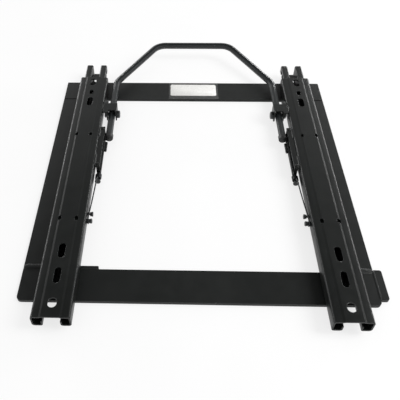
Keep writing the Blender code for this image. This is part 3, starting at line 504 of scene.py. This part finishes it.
def bracket_lips():
    """A lip that curls down from the front edge of each pivot bracket, beside the rail."""
    for side in (LEFT, RIGHT):
        name = SIDE_NAMES[side]
        low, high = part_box(name + "_pivot_bracket")
        near = edge_at(side, low, high)
        across = Vector((-side, 0, 0))

        def build(shape):
            rings = []
            last = len(LIP_CROWN) - 1
            for i, (y, z) in enumerate(LIP_CROWN):
                ahead, behind = LIP_CROWN[min(i + 1, last)], LIP_CROWN[max(i - 1, 0)]
                along = Vector((0, ahead[0] - behind[0], ahead[1] - behind[1])).normalized()
                inward = Vector((0, along.z, -along.y)) * LIP_SHEET * MM
                width = (LIP_WIDTH - LIP_TAPER * y * y) * MM
                top = Vector((near, high.y + y * MM, high.z + z * MM))
                foot = top + across * LIP_GAP * MM
                shoulder = top + across * (width - LIP_SOFT_EDGE)
                rim = top + across * width
                rings.append([foot, shoulder, rim + inward * 0.25, rim + inward * 0.75,
                              shoulder + inward, foot + inward])
            loft(shape, rings)

        add_mesh(name + "_pivot_bracket_lip", build, RAIL_COAT, "carriage", 35)


RIVET_INSET = 4.8 * MM


def bracket_rivets():
    """A rivet head near each end of each latch bracket, the rear one larger."""
    for side in (LEFT, RIGHT):
        name = SIDE_NAMES[side]
        low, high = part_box(name + "_latch_bracket")
        x = middle(low.x, high.x)
        rear = (x, low.y + RIVET_INSET, high.z)
        front = (x, high.y - RIVET_INSET, high.z)
        rivet(name + "_bracket_rivet", rear, UP, 3.4 * MM, 1.5 * MM, "carriage")
        rivet(name + "_bracket_front_rivet", front, UP, 2.4 * MM, 1.1 * MM, "carriage")


# Turned sections of the guide stud and the anchor's spacer: radius and distance from the rail, in mm
STUD_SECTION = ((1.6, -0.25), (1.6, 3), (3.1, 3.1), (3.1, 5.2), (3.6, 5.4),
                (3.7, 6.3), (3.5, 6.9), (2.9, 7.2), (1.2, 7.3))
SPACER_SECTION = ((2.1, 3), (3.0, 3.05), (3.2, 3.25), (3.2, 4.75), (3.0, 4.95), (2.1, 4.97))
STUD_AHEAD = 13 * MM
STUD_BELOW = 3.6 * MM


def turned(name, foot, side, section):
    """A turned zinc piece that stands out from a rail towards the middle of the frame."""
    profile = [(radius * MM, height * MM) for radius, height in section]
    revolve(name, foot, (-side, 0, 0), profile, ZINC, "carriage")


def guide_studs():
    """A second headed stud before each spring anchor, and a spacer under the anchor's head."""
    for side in (LEFT, RIGHT):
        name = SIDE_NAMES[side]
        low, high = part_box(name + "_spring_anchor")
        x, y = edge_at(side, low, high), middle(low.y, high.y)
        foot = Vector((x, y + STUD_AHEAD, high.z - STUD_BELOW))
        turned(name + "_guide_stud", foot, side, STUD_SECTION)
        weld_ring(name + "_guide_stud_weld", foot, (-side, 0, 0), 1.6 * MM)
        turned(name + "_anchor_spacer", Vector((x, y, middle(low.z, high.z))), side, SPACER_SECTION)


def smooth_path(points, steps=6):
    """A curve through the points given, cut into equal numbers of steps between them."""
    points = [Vector(point) for point in points]
    path = []
    for i in range(len(points) - 1):
        before, a = points[max(i - 1, 0)], points[i]
        b, after = points[i + 1], points[min(i + 2, len(points) - 1)]
        for step in range(steps):
            t = step / steps
            path.append(0.5 * (2 * a + (b - before) * t + (2 * before - 5 * a + 4 * b - after) * t * t
                               + (3 * a - before - 3 * b + after) * t ** 3))
    return path + [points[-1]]


def round_wire(name, path, radius, material, body, sides=12):
    """A round wire along a path, its section carried on without twist."""
    def build(shape):
        rings = []
        normal = None
        for i, point in enumerate(path):
            along = (path[min(i + 1, len(path) - 1)] - path[max(i - 1, 0)]).normalized()
            if normal is None:
                normal = along.orthogonal()
            normal = (normal - along * normal.dot(along)).normalized()
            across = along.cross(normal)
            rings.append([point + (normal * math.cos(a) + across * math.sin(a)) * radius
                          for a in (2 * math.pi * k / sides for k in range(sides))])
        loft(shape, rings)

    return add_mesh(name, build, material, body, 50)


COIL_TURNS = 4
COIL_RADIUS = 4 * MM
COIL_PITCH = 2.3 * MM
STEPS_A_TURN = 24
WIRE_RADIUS = 1 * MM
EYE_RADIUS = 3.5 * MM
EYE_STEPS = 18
LEG_FROM_RAIL = WIRE_RADIUS + 0.6 * MM


def springs():
    """Each return spring: a coil on the latch pin, a leg that closes in on the rail, an eye on its stud."""
    for side in (LEFT, RIGHT):
        name = SIDE_NAMES[side]
        low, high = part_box(name + "_latch_pin")
        pin_x, pin_z = middle(low.x, high.x), middle(low.z, high.z)
        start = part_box(name + "_latch_bracket")[0].y + 1.5 * MM - 2 * WIRE_RADIUS
        path = []
        for step in range(COIL_TURNS * STEPS_A_TURN + 1):
            angle = 2 * math.pi * step / STEPS_A_TURN
            path.append(Vector((pin_x - side * COIL_RADIUS * math.sin(angle),
                                start - COIL_PITCH * step / STEPS_A_TURN,
                                pin_z + COIL_RADIUS * math.cos(angle))))
        low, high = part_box(name + "_spring_anchor")
        leg = edge_at(side, low, high) - side * LEG_FROM_RAIL
        stud_y, stud_z = middle(low.y, high.y), middle(low.z, high.z)
        end = path[-1]
        bend = [end,
                (pin_x + side * 0.3 * MM, end.y - 3.6 * MM, pin_z + 6.6 * MM),
                (pin_x + side * 0.6 * MM, end.y - 10 * MM, pin_z + 7.8 * MM),
                (middle(pin_x, leg), middle(end.y, stud_y), pin_z + 10.3 * MM),
                (leg, stud_y + 9 * MM, stud_z + 3.55 * MM),
                (leg, stud_y + 1 * MM, stud_z + EYE_RADIUS)]
        path += smooth_path(bend, 8)[1:]
        for step in range(EYE_STEPS + 1):
            angle = math.pi * 1.5 * step / EYE_STEPS
            path.append(Vector((leg, stud_y - EYE_RADIUS * math.sin(angle),
                                stud_z + EYE_RADIUS * math.cos(angle))))
        spring = round_wire(name + "_spring", path, WIRE_RADIUS, SPRING, "carriage")
        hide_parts(name + "_return_spring")


def rounded_block(name, size, radius, matrix, material, body):
    """A block with rounded edges."""
    def build(shape):
        bmesh.ops.create_cube(shape, size=1)
        bmesh.ops.scale(shape, vec=size, verts=shape.verts)
        bmesh.ops.bevel(shape, geom=shape.edges[:], offset=radius, segments=4, profile=0.5, affect="EDGES")
        bmesh.ops.transform(shape, matrix=matrix, verts=shape.verts)

    return add_mesh(name, build, material, body, 50)


# Thumb lug of a latch: its size, and its middle from the latch pin before it leans with the plate
LUG_SIZE = (4.7 * MM, 20 * MM, 6 * MM)
LUG_EDGE = 1.6 * MM
LUG_OUT, LUG_AHEAD, LUG_ABOVE = 4.3 * MM, 21 * MM, 6.3 * MM
LATCH_LEAN = math.radians(16)


def latch_lugs():
    """A rounded thumb lug low on the outer face of each latch plate, leaning with the plate."""
    for side in (LEFT, RIGHT):
        name = SIDE_NAMES[side]
        low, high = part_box(name + "_latch_pin")
        pin = Matrix.Translation((middle(low.x, high.x), 0, middle(low.z, high.z)))
        turn = Matrix.Rotation(-side * LATCH_LEAN, 4, "Y")
        local = Matrix.Translation((-side * LUG_OUT, LUG_AHEAD, LUG_ABOVE))
        rounded_block(name + "_latch_lug", LUG_SIZE, LUG_EDGE, pin @ turn @ local, RAIL_COAT,
                      name + "_latch")


LABEL_X = -4 * MM
LABEL_SHEET = 0.25 * MM
FILM_SHEET = 0.08 * MM


def label():
    """The bare label and its clear film, at the middle of the front cross bar."""
    x, y = LABEL_X, middle(FRONT_LOW.y, FRONT_HIGH.y)
    sticker("label", (x - 42 * MM, y - 14.5 * MM), (x + 42 * MM, y + 19.5 * MM), 3 * MM,
            PLATE_TOP + 0.02 * MM, LABEL_SHEET, LABEL)
    sticker("label_film", (x - 44.8 * MM, y - 24.3 * MM), (x + 45.6 * MM, y + 24.3 * MM), 1.5 * MM,
            PLATE_TOP + 0.3 * MM, FILM_SHEET, FILM)


frame_welds()
bracket_welds()
bracket_lips()
bracket_rivets()
guide_studs()
springs()
latch_lugs()


# Camera, floor and light


def aim(yaw, pitch, roll):
    """The camera's right, down and forward directions."""
    forward = Vector((math.sin(yaw) * math.cos(pitch), math.cos(yaw) * math.cos(pitch), -math.sin(pitch)))
    level = Vector((math.cos(yaw), -math.sin(yaw), 0))
    steep = forward.cross(level)
    right = level * math.cos(roll) + steep * math.sin(roll)
    return right, forward.cross(right), forward


# The camera fitted to the photo: place, and yaw, pitch and roll in degrees
CAMERA_PLACE = (-37.31 * MM, -628.40 * MM, 597.63 * MM)
CAMERA_TURN = (-2.281, 47.591, 1.045)


def add_camera():
    data = bpy.data.cameras.new("camera")
    data.lens = 47.83
    data.sensor_width = 36
    data.shift_x = 0.1005
    data.clip_start, data.clip_end = 0.05, 30
    camera = bpy.data.objects.new("camera", data)
    right, down, forward = aim(*(math.radians(angle) for angle in CAMERA_TURN))
    turn = Matrix((right, -down, -forward)).transposed().to_4x4()
    camera.matrix_world = Matrix.Translation(CAMERA_PLACE) @ turn
    bpy.context.scene.collection.objects.link(camera)
    bpy.context.scene.camera = camera


# Radius and height of the floor's rings, in metres
FLOOR_RINGS = ((0.001, 0), (0.6, 0), (1.6, 0), (3, 0), (6, 0), (6.6, 0.15), (7, 0.6))
FLOOR_SEGMENTS = 48
FLOOR_BELOW = 0.3 * MM


def add_floor():
    """A floor disc that curls up at its rim."""
    mesh = bpy.data.meshes.new("floor")
    shape = bmesh.new()
    rings = []
    for radius, height in FLOOR_RINGS:
        rings.append([shape.verts.new((radius * math.cos(a), radius * math.sin(a), height))
                      for a in (2 * math.pi * k / FLOOR_SEGMENTS for k in range(FLOOR_SEGMENTS))])
    for low, high in zip(rings, rings[1:]):
        for k in range(FLOOR_SEGMENTS):
            after = (k + 1) % FLOOR_SEGMENTS
            shape.faces.new((low[k], low[after], high[after], high[k]))
    shape.faces.new(rings[0])
    shape.to_mesh(mesh)
    shape.free()
    floor = bpy.data.objects.new("floor", mesh)
    floor.location = (0, 0, -FLOOR_BELOW)
    mesh.materials.append(studio_floor())
    bpy.context.scene.collection.objects.link(floor)


def add_light(name, place, size, power, along=(1, 0, 0)):
    """A soft box that faces the middle of the object, its first size laid along a direction."""
    data = bpy.data.lights.new(name, "AREA")
    data.shape = "RECTANGLE"
    data.size, data.size_y = size
    data.energy = power
    light = bpy.data.objects.new(name, data)
    back = Vector(place).normalized()
    across = (Vector(along) - back * back.dot(Vector(along))).normalized()
    turn = Matrix((across, back.cross(across), back)).transposed().to_4x4()
    light.matrix_world = Matrix.Translation(place) @ turn
    light.visible_camera = False
    bpy.context.scene.collection.objects.link(light)


def add_world():
    """Even studio light. The camera, mirrors and glass see a white backdrop that dims overhead."""
    world = bpy.data.worlds.new("studio")
    bpy.context.scene.world = world
    world.use_nodes = True
    tree = world.node_tree
    background = tree.nodes["Background"]
    background.inputs["Color"].default_value = (1, 1, 1, 1)

    def link(kind, source, **settings):
        node = tree.nodes.new("ShaderNode" + kind)
        for key, value in settings.items():
            setattr(node, key, value)
        for index, socket in source.items():
            if isinstance(socket, bpy.types.NodeSocket):
                tree.links.new(socket, node.inputs[index])
            else:
                node.inputs[index].default_value = socket
        return node

    rays = tree.nodes.new("ShaderNodeLightPath")
    seen = rays.outputs["Is Camera Ray"]
    for other in ("Is Glossy Ray", "Is Transmission Ray"):
        seen = link("Math", {0: seen, 1: rays.outputs[other]}, operation="MAXIMUM").outputs[0]
    direction = tree.nodes.new("ShaderNodeTexCoord").outputs["Generated"]
    height = link("SeparateXYZ", {0: direction}).outputs["Z"]
    backdrop = link("MapRange", {"Value": height, "From Min": 0.35, "From Max": 0.85,
                                 "To Min": 1.0, "To Max": 0.12})
    strength = link("Mix", {0: seen, 2: 0.6, 3: backdrop.outputs[0]}, data_type="FLOAT")
    tree.links.new(strength.outputs[0], background.inputs["Strength"])


label()
add_camera()
add_floor()
add_light("key", (1.4, -0.3, 1.5), (1.1, 0.9), 24)
add_light("left_strip", (-1.5, 1.4, 0.3), (2.0, 0.12), 16, (0, 1, 0))
add_light("right_strip", (1.5, 1.4, 0.3), (2.0, 0.12), 16, (0, 1, 0))
add_world()
bpy.context.scene.view_settings.view_transform = "Standard"
